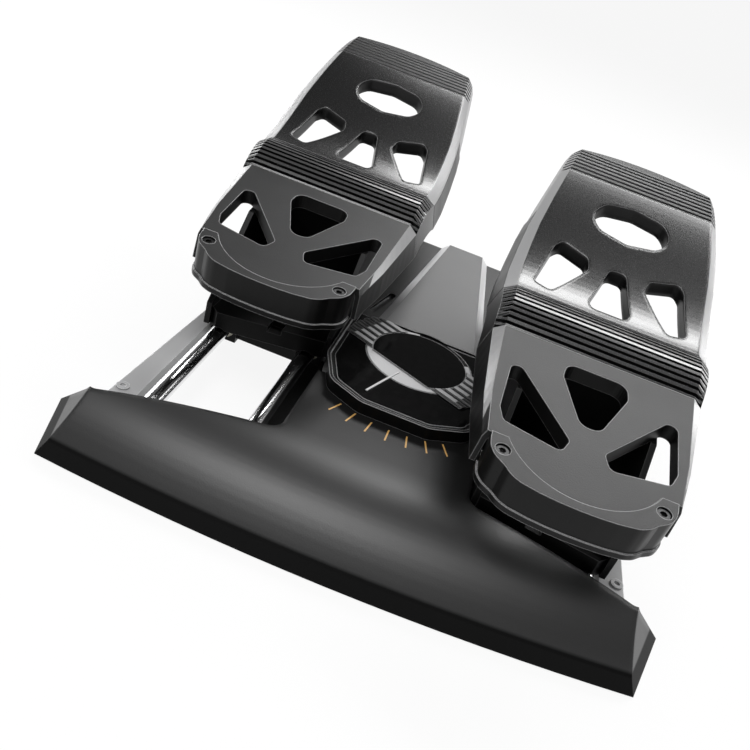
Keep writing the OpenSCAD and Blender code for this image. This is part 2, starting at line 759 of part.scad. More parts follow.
// Friction ring that holds the rocker where it is put
module drag_washer() color([0.3, 0.12, 0.1]) in_frame() {
    difference() {
        bar_z(0, pivot_y, drag_out_r, tray_top, arm_z - drag_gap);
        bar_z(0, pivot_y, post_foot_r + press_gap, tray_top - over, arm_z + over);
    }
}

module circuit_board() color([0.05, 0.24, 0.12]) in_frame() {
    box(-board_w / 2, board_w / 2, board_y - board_l / 2, board_y + board_l / 2, board_z, board_z + board_t);
    for (sx = [-1, 1], sy = [-1, 1]) bar_z(sx * (board_w / 2 - board_post_inset),
        board_y + sy * (board_l / 2 - board_post_inset), board_post_r, tray_top, board_z);
}

// Potentiometer on the post; the dial's spindle turns in it
module yaw_sensor() color([0.15, 0.2, 0.45]) in_frame() {
    difference() {
        bar_z(0, pivot_y, sensor_r, post_top, post_top + sensor_h);
        bar_z(0, pivot_y, spindle_r + run_gap, spindle_z - over, post_top + sensor_h + over);
    }
}

module cable_gland() color([0.05, 0.05, 0.05]) in_frame() {
    difference() {
        union() {
            bar_y(0, gland_z, gland_r, console_rear_y - cover_wall, console_rear_y + gland_l);
            bar_y(0, gland_z, gland_r + cover_wall, console_rear_y, console_rear_y + cover_wall);
        }
        bar_y(0, gland_z, gland_bore_r, console_rear_y - cover_wall - over, console_rear_y + gland_l + over);
    }
}

module rubber_feet() color([0.04, 0.04, 0.04]) in_frame() {
    for (p = pad_places) bar_z(p[0], p[1], pad_r, 0, foot_h);
}

module base_screws() color([0.45, 0.45, 0.46]) in_frame() {
    for (p = concat(apron_screw_places, console_screw_places)) difference() {
        union() {
            bar_z(p[0], p[1], base_screw_r, foot_h, foot_h + base_screw_h);
            bar_z(p[0], p[1], shank_r, foot_h, foot_h + base_screw_h + shank_l);
        }
        translate([p[0], p[1], foot_h - over]) cylinder(r = hex_r, h = base_screw_h / 2 + over, $fn = 6);
    }
}

// Rocker: turns about the post and drives the carriages by their pins

module at_rocker() {
    translate([0, pivot_y - frame_y, 0]) rotate([0, 0, -rocker_rest]) children();
}

module rocker_arm() color([0.42, 0.43, 0.45]) at_rocker() {
    translate([0, 0, arm_z]) linear_extrude(arm_t) difference() {
        union() {
            square([2 * arm_end, 2 * arm_half_w], center = true);
            circle(r = arm_eye_r, $fn = round_fn);
        }
        circle(r = post_r + run_gap, $fn = round_fn);
        for (side = [-1, 1]) translate([side > 0 ? arm_slot_in : -arm_slot_out, -arm_slot_half])
            square([arm_slot_out - arm_slot_in, 2 * arm_slot_half]);
    }
}

module rocker_hub() color([0.12, 0.12, 0.13]) at_rocker() {
    difference() {
        bar_z(0, 0, hub_r, arm_z + arm_t, hub_top);
        bar_z(0, 0, post_r + run_gap, arm_z, hub_top + over);
        bar_z(0, 0, sensor_r + sensor_gap, post_top - sensor_gap, hub_top + over);
    }
}

module dial_disc() color([0.55, 0.55, 0.56]) at_rocker() {
    bar_z(0, 0, spindle_r, spindle_z, hub_top);
    translate([0, 0, hub_top]) cylinder(r = dial_r, h = dial_top - hub_top, $fn = 2 * round_fn);
}

// Black badge on the dial: round, cut straight towards the user, bare on top
module dial_badge() color([0.02, 0.02, 0.022]) at_rocker() {
    translate([0, 0, dial_top]) linear_extrude(badge_t) intersection() {
        circle(r = dial_r * badge_r_share, $fn = 2 * round_fn);
        translate([-dial_r, -dial_r * dial_chord_share]) square(2 * dial_r);
    }
}

module dial_pointer() color([0.75, 0.75, 0.76]) at_rocker() {
    rotate([0, 0, pointer_turn])
        box(-pointer_w / 2, pointer_w / 2, -pointer_out, -pointer_in, dial_top, dial_top + pointer_t);
}

// A wing turns with the dial over the gloss plate, and stops short of the spine's foot
module wing_plan(side) {
    intersection() {
        difference() {
            circle(r = wing_reach, $fn = 2 * round_fn);
            circle(r = dial_r * badge_r_share + seam, $fn = 2 * round_fn);
        }
        translate([side > 0 ? dial_r / 2 : -dial_r / 2 - wing_reach, -wing_half])
            square([wing_reach, 2 * wing_half]);
        rotate(-side * rocker_rest) translate([-2 * wing_reach, -2 * wing_reach])
            square([4 * wing_reach, 2 * wing_reach + spine_y - pivot_y - seam]);
    }
}

// A thin plate that rests on the dial's edge, with slats on it
module dial_wing(side) color([0.35, 0.35, 0.36]) at_rocker() {
    pitch = 2 * wing_half / wing_slats;
    translate([0, 0, dial_top]) {
        linear_extrude(wing_t) wing_plan(side);
        linear_extrude(wing_t + wing_slat_h) intersection() {
            wing_plan(side);
            for (i = [0:wing_slats - 1]) translate([-wing_reach, pitch * (i + (1 - wing_slat_share) / 2)
                - wing_half]) square([2 * wing_reach, pitch * wing_slat_share]);
        }
    }
}
module dial_wing_left() dial_wing(-1);
module dial_wing_right() dial_wing(1);

// Carriages; these and all pedal pieces are drawn for the right side, where outer is +X

module carriage(side) color([0.06, 0.06, 0.065]) at_pedal(side) {
    xo = rail_off + rail_pitch / 2;
    xi = rail_off - rail_pitch / 2;
    difference() {
        union() {
            translate([0, 0, carriage_plate_z]) linear_extrude(carriage_plate_t)
                polygon([[-carriage_half, carriage_y + plate_skew],
                    [carriage_half - plate_chamfer, carriage_y],
                    [carriage_half, carriage_y + plate_chamfer], [carriage_half, carriage_y1],
                    [-carriage_half, carriage_y1]]);
            box(xo - housing_half, xo + housing_half, carriage_y + outer_housing_dy, carriage_y1,
                housing_z0, carriage_plate_z);
            box(xi - housing_half, xi + housing_half, carriage_y + inner_housing_dy, carriage_y1,
                housing_z0, carriage_plate_z);
            box(xi, xo, carriage_y + front_bar_dy, carriage_y + front_bar_dy + front_bar_l,
                front_bar_z, carriage_plate_z);
            box(xi, xo, pivot_y - pin_bar_half, pivot_y + pin_bar_half, pin_bar_z, carriage_plate_z);
        }
        for (x = [xi, xo]) bar_y(x, rail_z, bush_r, carriage_y, carriage_y1 + over);
        // Pockets from below
        box(xi + housing_half, xo - housing_half, carriage_y + front_bar_dy + front_bar_l,
            pivot_y - pin_bar_half, carriage_plate_z - over, carriage_top_z - pocket_roof);
        box(xi + housing_half, xo - housing_half, pivot_y + pin_bar_half, carriage_y1 - pocket_rim,
            carriage_plate_z - over, carriage_top_z - pocket_roof);
        bar_z(0, pivot_y, drive_pin_r + press_gap, pin_bar_z - over, pin_bar_z + drive_stem_h);
        box(-notch_w, 0, carriage_y, carriage_y + plate_skew / 2 + notch_l, carriage_top_z - notch_h,
            carriage_top_z + over);
    }
}

module slide_bushes(side) color([0.75, 0.72, 0.6]) at_pedal(side) {
    for (s = [-1, 1]) {
        x = rail_off + s * rail_pitch / 2;
        y0 = carriage_y + (s > 0 ? outer_housing_dy : inner_housing_dy);
        for (y = [y0, carriage_y1 - bush_l]) difference() {
            bar_y(x, rail_z, bush_r, y, y + bush_l);
            bar_y(x, rail_z, rail_r + run_gap, y - over, y + bush_l + over);
        }
    }
}

module drive_pin(side) color([0.6, 0.61, 0.62]) at_pedal(side) {
    bar_z(0, pivot_y, drive_pin_r, drive_pin_z, pin_bar_z + drive_stem_h);
    bar_z(0, pivot_y, drive_pin_head_r, pin_bar_z - drive_pin_head_h, pin_bar_z);
}

// One web's side view; the inner web starts further back, as the carriage does
module web_view(y0) {
    difference() {
        hull() {
            polygon([[y0, web_z0], [y0, web_front_z], [web_crest_y, heel_top(web_crest_y) - foot_wall],
                [frame_slab_y1, heel_top(frame_slab_y1) - foot_wall], [carriage_y1, web_z0]]);
            translate([hinge_y, hinge_z]) circle(r = web_eye_r, $fn = round_fn);
        }
        translate([hinge_y, hinge_z]) circle(r = hinge_pin_r + run_gap, $fn = round_fn);
    }
}

// Two webs, a slab under the heel plate and a wall that slopes down behind it to the carriage
module pedal_frame(side) color([0.16, 0.16, 0.17]) at_pedal(side) {
    half = carriage_half + web_t;
    slab_z = heel_top(frame_slab_y1) - foot_wall - frame_slab_t;
    difference() {
        union() {
            for (s = [-1, 1]) translate([s > 0 ? carriage_half : -half, 0, 0]) rotate([90, 0, 90])
                linear_extrude(web_t) web_view(s > 0 ? web_y0 : web_y0 + plate_skew);
            foot_slab(web_crest_y, frame_slab_y1, foot_wall, foot_wall + frame_slab_t, half, "heel");
            rotate([90, 0, 90]) translate([0, 0, -half]) linear_extrude(2 * half)
                polygon([[frame_slab_y1 - web_t, slab_z], [frame_slab_y1, slab_z + frame_slab_t / 2],
                    [carriage_y1 - frame_wall_dy, carriage_top_z],
                    [carriage_y1 - frame_wall_dy - web_t, carriage_top_z]]);
        }
        // Room for the collars of the heel's openings
        intersection() {
            foot_slab(heel_y, knuckle_y0, -over, collar_h + seam, foot_half_w, "heel");
            linear_extrude(2 * heel_z) heel_holes(collar_t + seam);
        }
        // Seat of the knuckle's flange
        foot_slab(frame_slab_y1, knuckle_y0 + foot_wall + seam, -over, foot_wall + knuckle_flange_t,
            foot_half_w, "heel");
    }
}

// Heel

// Plan of the rim, drawn in by a wall; the outline's shares are of the half width and of the ears' length
module rim_plan(in) {
    outline = [for (p = rim_outline_shares) [p[0] * foot_half_w, heel_y + p[1] * rim_back_dy]];
    n = len(outline);
    half = outline[n - 1][0];
    offset(r = rim_round, $fn = 2 * round_fn) offset(delta = -rim_round - in) union() {
        polygon(concat(outline, [for (i = [n - 1:-1:1]) [-outline[i][0], outline[i][1]]]));
        translate([-half, heel_y + rim_back_dy - over]) square([2 * half, rim_back_dy]);
    }
}

// What the rim takes of the heel's plan, grown by a gap
module rim_zone(gap) {
    difference() {
        translate([-foot_half_w * 1.5, heel_y - rim_back_dy])
            square([foot_half_w * 3, 2 * rim_back_dy + gap]);
        translate([0, heel_y + rim_in_dy + rim_in_r]) circle(r = rim_in_r - gap, $fn = 2 * round_fn);
    }
}

// A place on the heel's top, square to it
module on_heel(x, dy, drop) {
    translate([x, heel_y + dy, heel_top(heel_y + dy)]) rotate([atan(heel_slope), 0, 0])
        translate([0, 0, -drop]) children();
}

module heel_plate(side) color([0.1, 0.1, 0.105]) at_pedal(side) {
    difference() {
        union() {
            difference() {
                cover_loft([for (i = [0:toe_steps / 2]) [heel_y + rim_in_dy / 2
                    + (knuckle_dy - seam - rim_in_dy / 2) * i * 2 / toe_steps, 0]], "heel");
                linear_extrude(2 * heel_z) rim_zone(seam);
            }
            // Flange under the rim's lid, and its screw bosses
            intersection() {
                linear_extrude(2 * heel_z) intersection() {
                    rim_plan(rim_wall + seam);
                    translate([-foot_half_w, 0])
                        square([2 * foot_half_w, heel_y + rim_back_dy + 2 * rim_wall]);
                }
                foot_slab(heel_y, heel_y + 2 * rim_back_dy, rim_lid_t, 2 * rim_lid_t, foot_half_w, "heel");
            }
            intersection() {
                linear_extrude(2 * heel_z) rim_plan(rim_wall + seam);
                for (s = [-1, 1]) on_heel(s * heel_screw_pitch / 2, heel_screw_dy, rim_lid_t + screw_boss_h)
                    cylinder(r = screw_boss_r, h = screw_boss_h - rim_lid_t / 2, $fn = round_fn);
            }
            // Collars round the openings
            intersection() {
                foot_slab(heel_y + rim_back_dy, knuckle_y0 - rim_lid_t, foot_wall / 2, collar_h,
                    foot_half_w, "heel");
                linear_extrude(2 * heel_z) heel_holes(collar_t);
            }
        }
        linear_extrude(2 * heel_z) heel_holes(0);
        for (s = [-1, 1]) on_heel(s * heel_screw_pitch / 2, heel_screw_dy, rim_lid_t + screw_l)
            cylinder(r = screw_r + press_gap, h = screw_l + over, $fn = round_fn);
    }
}

module heel_rim(side) color([0.03, 0.03, 0.032]) at_pedal(side) {
    back = 2 * foot_half_w;
    difference() {
        union() {
            intersection() {
                linear_extrude(2 * heel_z) intersection() {
                    rim_plan(0);
                    rim_zone(0);
                }
                foot_slab(heel_y - over, heel_y + 2 * rim_back_dy, -rim_rise, rim_lid_t, back, "heel");
            }
            intersection() {
                linear_extrude(2 * heel_z) intersection() {
                    difference() {
                        rim_plan(0);
                        rim_plan(rim_wall);
                    }
                    translate([-back, 0]) square([2 * back, heel_y + rim_back_dy]);
                }
                foot_slab(heel_y - over, heel_y + 2 * rim_back_dy, -rim_rise, 4 * rim_wall, back, "heel");
            }
            translate([0, 0, rim_z0]) linear_extrude(heel_z - rim_z0 - rim_lid_t) intersection() {
                difference() {
                    rim_plan(0);
                    rim_plan(rim_wall);
                }
                translate([-back, 0]) square([2 * back, heel_y + rim_back_dy]);
            }
            translate([0, 0, rim_z0]) linear_extrude(rim_bead_h) intersection() {
                difference() {
                    rim_plan(-rim_bead);
                    rim_plan(rim_wall / 2);
                }
                translate([-back, 0]) square([2 * back, heel_y + rim_back_dy]);
            }
        }
        for (s = [-1, 1]) on_heel(s * heel_screw_pitch / 2, heel_screw_dy, rim_lid_t + over)
            cylinder(r = screw_head_r + screw_clear, h = rim_lid_t + 2 * over + rim_rise, $fn = round_fn);
    }
}

module heel_screws(side) color([0.25, 0.25, 0.26]) at_pedal(side) {
    head_drop = rim_lid_t * cos(atan(heel_slope)) - press_gap;
    for (s = [-1, 1]) on_heel(s * heel_screw_pitch / 2, heel_screw_dy, head_drop) difference() {
        union() {
            cylinder(r = screw_head_r, h = screw_head_h, $fn = round_fn);
            translate([0, 0, -screw_l]) cylinder(r = screw_r, h = screw_l + over, $fn = round_fn);
        }
        translate([0, 0, screw_head_h / 2]) cylinder(r = hex_r, h = screw_head_h, $fn = 6);
    }
}

// Ribbed cover over the toe hinge, carried by a flange under the heel plate
function knuckle_cut(i) = let (a = knuckle_a0 + (knuckle_a1 - knuckle_a0) * (i + 0.5) / knuckle_grooves,
    y = hinge_y + knuckle_r * cos(a), w = groove_w * sin(a)) groove_stations(y - w / 2, w);
module knuckle(side) color([0.11, 0.11, 0.115]) at_pedal(side) {
    cover_loft(concat([[knuckle_y0, 0]], [for (i = [0:knuckle_grooves - 1]) each knuckle_cut(i)],
        [[knuckle_y1 - seam, 0]]), "knuckle");
    foot_slab(frame_slab_y1 + seam, knuckle_y0 + foot_wall, foot_wall, foot_wall + knuckle_flange_t,
        half_w(knuckle_y0) - foot_wall, "heel");
}

module toe_sensor(side) color([0.15, 0.2, 0.45]) at_pedal(side) {
    difference() {
        bar_x(hinge_y, hinge_z, toe_sensor_r, carriage_half - toe_sensor_l, carriage_half);
        bar_x(hinge_y, hinge_z, hinge_pin_r + run_gap, carriage_half - toe_sensor_l - over,
            carriage_half + over);
    }
}

// Toe

// Plan that rounds the toe plate's end
module toe_plan(in) {
    offset(r = toe_corner_round, $fn = round_fn) offset(delta = -toe_corner_round - in) intersection() {
        translate([0, toe_end_y - toe_arc_r]) circle(r = toe_arc_r, $fn = 4 * round_fn);
        polygon(concat([for (i = [0:toe_steps]) let (y = knuckle_y1 + 2 * toe_l * i / toe_steps)
            [half_w(y) + flare(y), y - toe_corner_round]],
            [for (i = [toe_steps:-1:0]) let (y = knuckle_y1 + 2 * toe_l * i / toe_steps)
            [-half_w(y) - flare(y), y - toe_corner_round]]));
    }
}

module toe_plate(side) color([0.1, 0.1, 0.105]) at_pedal(side) {
    groove_end = toe_groove_y0 + toe_grooves * toe_groove_pitch;
    difference() {
        union() {
            intersection() {
                cover_loft(concat([for (i = [0:toe_steps]) [knuckle_y1 + seam
                    + (toe_groove_y0 - knuckle_y1 - over) * i / toe_steps, 0]],
                    [for (i = [0:toe_grooves - 1]) each groove_stations(toe_groove_y0 + i * toe_groove_pitch,
                        groove_w)],
                    [[groove_end, 0], [toe_end_y, 0]]), "toe");
                linear_extrude(4 * heel_z) union() {
                    toe_plan(0);
                    translate([-2 * foot_half_w, knuckle_y1]) square([4 * foot_half_w, toe_l / 2]);
                }
            }
            // Lip round the far end
            intersection() {
                foot_slab(toe_end_y - toe_lip_l, toe_end_y, foot_wall / 2, toe_lip_h, foot_half_w, "toe");
                linear_extrude(4 * heel_z) difference() {
                    toe_plan(flank_h * 0.3);
                    translate([0, -foot_wall]) toe_plan(flank_h * 0.3);
                }
            }
            intersection() {
                foot_slab(knuckle_y1 + rim_wall, toe_groove_y0, foot_wall / 2, collar_h, foot_half_w, "toe");
                linear_extrude(4 * heel_z) toe_holes(collar_t);
            }
        }
        linear_extrude(4 * heel_z) toe_holes(0);
    }
}

// Side view of a toe bracket ear: an eye on the hinge pin and a rib under the toe plate
module toe_ear_view() {
    y0 = knuckle_y1 + rim_wall;
    drop = foot_wall + bracket_gap;
    ys = [for (i = [0:toe_steps]) y0 + (bracket_y1 - y0) * i / toe_steps];
    difference() {
        union() {
            hull() {
                translate([hinge_y, hinge_z]) circle(r = bracket_eye_r, $fn = round_fn);
                polygon([[y0, toe_top(y0) - drop], [y0 + bracket_h, toe_top(y0 + bracket_h) - drop],
                    [y0 + bracket_h, toe_top(y0) - drop - bracket_h], [y0, toe_top(y0) - drop - bracket_h]]);
            }
            polygon(concat([for (y = ys) [y, toe_top(y) - drop]],
                [[bracket_y1, toe_top(bracket_y1) - drop - bracket_h / 3],
                 [y0, toe_top(y0) - drop - 2 * bracket_h]]));
        }
        translate([hinge_y, hinge_z]) circle(r = hinge_pin_r + press_gap, $fn = round_fn);
    }
}

module toe_bracket(side) color([0.16, 0.16, 0.17]) at_pedal(side) {
    for (s = [-1, 1]) translate([s > 0 ? ear_x : -ear_x - ear_t, 0, 0]) rotate([90, 0, 90])
        linear_extrude(ear_t) toe_ear_view();
    // Curved tongue that stays under the knuckle while the toe tips
    r1 = knuckle_r - foot_wall - tongue_gap;
    r0 = r1 - tongue_t;
    half = ear_x + ear_t / 2;
    rotate([90, 0, 90]) translate([hinge_y, hinge_z, -half]) linear_extrude(2 * half)
        polygon(concat([for (i = [0:tongue_steps])
            let (a = tongue_a0 + (tongue_a1 - tongue_a0) * i / tongue_steps) [r1 * cos(a), r1 * sin(a)]],
            [for (i = [tongue_steps:-1:0])
            let (a = tongue_a0 + (tongue_a1 - tongue_a0) * i / tongue_steps) [r0 * cos(a), r0 * sin(a)]]));
}

module hinge_pin(side) color([0.7, 0.7, 0.71]) at_pedal(side) {
    bar_x(hinge_y, hinge_z, hinge_pin_r, -hinge_pin_half, hinge_pin_half);
    for (s = [-1, 1]) bar_x(hinge_y, hinge_z, hinge_head_r,
        s > 0 ? hinge_pin_half : -hinge_pin_half - hinge_head_h,
        s > 0 ? hinge_pin_half + hinge_head_h : -hinge_pin_half);
}

module return_spring(side) color([0.5, 0.5, 0.52]) at_pedal(side) {
    difference() {
        bar_x(hinge_y, hinge_z, coil_out_r, -coil_half, coil_half);
        bar_x(hinge_y, hinge_z, hinge_pin_r + press_gap, -coil_half - over, coil_half + over);
    }
}

module left_carriage() carriage(-1);
module left_slide_bushes() slide_bushes(-1);
module left_drive_pin() drive_pin(-1);
module left_pedal_frame() pedal_frame(-1);
module left_heel_plate() heel_plate(-1);
module left_heel_rim() heel_rim(-1);
module left_heel_screws() heel_screws(-1);
module left_knuckle() knuckle(-1);
module left_toe_sensor() toe_sensor(-1);
module left_toe_plate() toe_plate(-1);
module left_toe_bracket() toe_bracket(-1);
module left_hinge_pin() hinge_pin(-1);
module left_return_spring() return_spring(-1);
module right_carriage() carriage(1);
module right_slide_bushes() slide_bushes(1);
module right_drive_pin() drive_pin(1);
module right_pedal_frame() pedal_frame(1);
module right_heel_plate() heel_plate(1);
module right_heel_rim() heel_rim(1);
module right_heel_screws() heel_screws(1);
module right_knuckle() knuckle(1);
module right_toe_sensor() toe_sensor(1);
module right_toe_plate() toe_plate(1);
module right_toe_bracket() toe_bracket(1);
module right_hinge_pin() hinge_pin(1);
module right_return_spring() return_spring(1);

base_tray();
apron_cover();
front_rail_block();
rear_cross_member();
outer_rail_left();
inner_rail_left();
inner_rail_right();
outer_rail_right();
side_plate_left();
side_plate_right();
side_plate_screws();
console_cover();
gloss_plate();
pivot_post();
drag_washer();
circuit_board();
yaw_sensor();
cable_gland();
rubber_feet();
base_screws();
rocker_arm();
rocker_hub();
dial_disc();
dial_badge();
dial_pointer();
dial_wing_left();
dial_wing_right();
left_carriage();
left_slide_bushes();
left_drive_pin();
left_pedal_frame();
left_heel_plate();
left_heel_rim();
left_heel_screws();
left_knuckle();
left_toe_sensor();
left_toe_plate();
left_toe_bracket();
left_hinge_pin();
left_return_spring();
right_carriage();
right_slide_bushes();
right_drive_pin();
right_pedal_frame();
right_heel_plate();
right_heel_rim();
right_heel_screws();
right_knuckle();
right_toe_sensor();
right_toe_plate();
right_toe_bracket();
right_hinge_pin();
right_return_spring();
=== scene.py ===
import bpy
import math
from mathutils import Matrix, Vector


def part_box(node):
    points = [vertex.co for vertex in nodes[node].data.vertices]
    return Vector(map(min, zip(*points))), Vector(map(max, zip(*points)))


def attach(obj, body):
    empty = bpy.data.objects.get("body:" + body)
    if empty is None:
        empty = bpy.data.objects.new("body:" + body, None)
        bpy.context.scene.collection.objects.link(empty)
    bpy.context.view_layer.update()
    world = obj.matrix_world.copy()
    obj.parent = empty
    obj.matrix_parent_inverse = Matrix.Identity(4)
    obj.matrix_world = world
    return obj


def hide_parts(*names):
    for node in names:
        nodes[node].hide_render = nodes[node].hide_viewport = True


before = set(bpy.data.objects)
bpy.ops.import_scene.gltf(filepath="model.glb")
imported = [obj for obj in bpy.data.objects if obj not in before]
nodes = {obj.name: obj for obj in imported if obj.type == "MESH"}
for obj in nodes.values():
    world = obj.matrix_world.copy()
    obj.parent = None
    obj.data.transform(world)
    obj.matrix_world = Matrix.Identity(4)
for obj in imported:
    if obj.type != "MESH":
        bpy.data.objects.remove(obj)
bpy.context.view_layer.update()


# Studio camera
# The set is seen from in front of the user's chair, a little to the right, looking down at the pedals.
# The lens and its shift are those that the mirrored edges of the two pedals ask for.
eye = Vector((0.01272, -0.50082, 0.30354))
look_right = Vector((0.92772, 0.24815, 0.27885))
look_down = Vector((0.37125, -0.53554, -0.75853))
look_ahead = Vector((-0.03889, 0.80723, -0.58896))
lens = bpy.data.cameras.new("studio_camera")
lens.sensor_width = 36
lens.lens = 38.4
lens.shift_x = 0.0067
lens.shift_y = 0.1027
lens.clip_start = 0.01
camera = bpy.data.objects.new("studio_camera", lens)
bpy.context.scene.collection.objects.link(camera)
turned = Matrix((look_right, -look_down, -look_ahead)).transposed()
camera.matrix_world = Matrix.Translation(eye) @ turned.to_4x4()
bpy.context.scene.camera = camera
bpy.context.scene.view_settings.view_transform = "Standard"


# Paper floor, walls and lamps
# The pedals stand on a wide sheet of white paper between pale walls, under a dim ceiling. A long soft
# box behind and above them draws the sheen on the plates, one high in front on the left that on the
# apron, and a low one on each side lights the edges.
class Wire:
    """One output of a shader node, which sums can be written with."""

    def __init__(self, finish, socket):
        self.finish = finish
        self.socket = socket

    def __add__(self, other):
        return self.finish.maths("ADD", self, other)

    __radd__ = __add__

    def __sub__(self, other):
        return self.finish.maths("SUBTRACT", self, other)

    def __rsub__(self, other):
        return self.finish.maths("SUBTRACT", other, self)

    def __mul__(self, other):
        return self.finish.maths("MULTIPLY", self, other)

    __rmul__ = __mul__

    def __truediv__(self, other):
        return self.finish.maths("DIVIDE", self, other)

    def __lt__(self, other):
        return self.finish.maths("LESS_THAN", self, other)

    def __gt__(self, other):
        return self.finish.maths("GREATER_THAN", self, other)

    def __abs__(self):
        return self.finish.maths("ABSOLUTE", self)


class Finish:
    """The shader of a material, or of the walls round the set."""

    def __init__(self, owner):
        self.owner = owner
        owner.use_nodes = True
        self.tree = owner.node_tree
        self.tree.nodes.clear()

    def node(self, kind, settings=None, values=None, out=0):
        made = self.tree.nodes.new(kind)
        for name, value in (settings or {}).items():
            if name == "stops":
                stops = made.color_ramp.elements
                for place, level in value[2:]:
                    stops.new(place)
                for stop, (place, level) in zip(stops, sorted(value)):
                    stop.position = place
                    stop.color = (level, level, level, 1)
            else:
                setattr(made, name, value)
        for name, value in (values or {}).items():
            if isinstance(value, Wire):
                self.tree.links.new(value.socket, made.inputs[name])
            else:
                made.inputs[name].default_value = value
        return Wire(self, made.outputs[out])

    def maths(self, operation, *terms):
        return self.node("ShaderNodeMath", {"operation": operation}, dict(enumerate(terms)))

    def place(self, scale=(1, 1, 1), centre=(0, 0, 0)):
        """A place on the object, in metres, from a centre and stretched."""
        at = self.node("ShaderNodeTexCoord", out="Object")
        return self.node("ShaderNodeMapping", {}, {"Vector": at, "Scale": scale,
            "Location": [-c * s for c, s in zip(centre, scale)]})

    def axes(self, at):
        return [self.node("ShaderNodeSeparateXYZ", {}, {0: at}, out=i) for i in range(3)]

    def facing(self):
        """How far a face looks right, away and up, each from -1 to 1."""
        return self.axes(self.node("ShaderNodeNewGeometry", out="True Normal"))

    def noise(self, size, detail, stretch=(1, 1, 1)):
        return self.node("ShaderNodeTexNoise", {}, {"Vector": self.place(stretch), "Scale": 1 / size,
            "Detail": detail})

    def ramp(self, value, *stops):
        return self.node("ShaderNodeValToRGB", {"stops": list(stops)}, {0: value})

    def blend(self, share, first, second):
        """A colour between two."""
        return self.node("ShaderNodeMix", {"data_type": "RGBA"}, {0: share, 6: first, 7: second}, out=2)

    def over(self, mask, below, above):
        """One surface laid over another where the mask is 1."""
        return self.node("ShaderNodeMixShader", {}, {0: mask, 1: below, 2: above})

    def backdrop_rays(self):
        """1 where the picture, a reflection or a clear piece shows the set, and 0 for its light."""
        shown = self.node("ShaderNodeLightPath", out="Is Camera Ray") + self.node("ShaderNodeLightPath",
            out="Is Glossy Ray")
        return self.node("ShaderNodeMath", {"operation": "ADD", "use_clamp": True},
            {0: shown, 1: self.node("ShaderNodeLightPath", out="Is Transmission Ray")})

    def end(self, surface):
        is_world = isinstance(self.owner, bpy.types.World)
        close = self.tree.nodes.new("ShaderNodeOutputWorld" if is_world else "ShaderNodeOutputMaterial")
        self.tree.links.new(surface.socket, close.inputs["Surface"])
        return self.owner


white_wall_top = 0.22
ceiling_start = 0.42
ceiling_start_tone = 0.12
ceiling_tone = 0.06
wall_light = (0.24, 0.24, 0.24, 1)
world = bpy.data.worlds.new("studio_walls")
bpy.context.scene.world = world
walls = Finish(world)
height = walls.axes(walls.node("ShaderNodeTexCoord", out="Generated"))[2]
wall_tone = walls.ramp(height, (0, 1), (white_wall_top, 1), (ceiling_start, ceiling_start_tone),
    (1, ceiling_tone))
walls.end(walls.node("ShaderNodeBackground", {}, {"Strength": 1.0,
    "Color": walls.blend(walls.backdrop_rays(), wall_light, wall_tone)}))

paper_size = 60
paper_drop = 0.0002
paper_glow = 0.9
bpy.ops.object.select_all(action="DESELECT")
bpy.ops.mesh.primitive_plane_add(size=paper_size, location=(0, 0, -paper_drop))
paper = bpy.context.object
paper.name = "paper_floor"
sheet = Finish(bpy.data.materials.new("white_paper"))
lit = sheet.node("ShaderNodeBsdfPrincipled", {}, {"Base Color": (0.93, 0.93, 0.93, 1), "Roughness": 0.9,
    "Specular IOR Level": 0.1})
bright = sheet.node("ShaderNodeEmission", {}, {"Color": (1, 1, 1, 1), "Strength": 1.0})
paper.data.materials.append(sheet.end(sheet.over(sheet.backdrop_rays() * paper_glow, lit, bright)))

lamp_target = Vector((0, 0, 0.06))


def soft_box(name, place, width, depth, watts):
    """A lamp with a wide front, aimed at the pedals."""
    light = bpy.data.lights.new(name, "AREA")
    light.shape = "RECTANGLE"
    light.size = width
    light.size_y = depth
    light.energy = watts
    lamp = bpy.data.objects.new(name, light)
    bpy.context.scene.collection.objects.link(lamp)
    lamp.location = place
    lamp.rotation_euler = (lamp_target - Vector(place)).to_track_quat("-Z", "Y").to_euler()
    lamp.visible_camera = False


soft_box("soft_box_behind", (0.3, 0.96, 1.18), 1.2, 0.34, 16)
soft_box("soft_box_front_left", (-0.22, -0.6, 1.2), 0.7, 0.5, 9)
soft_box("soft_box_left", (-1.25, 0.95, 0.3), 0.6, 0.5, 9)
soft_box("soft_box_right", (1.25, 0.95, 0.3), 0.6, 0.5, 7)


# Tray, feet and screws below
# A black pressed tray closes the base from below. Eight rubber feet are glued to it, and screws from
# below hold the covers. Every moulded part has the same kind of skin, a fine spark-eroded grain.
cloud_size = 0.035
rub_width = 0.0008
corner_rubbed = 0.93
corner_unlit = 0.992
rough_swing = 0.12


def grey(tone):
    return (tone, tone, tone * 1.01, 1)


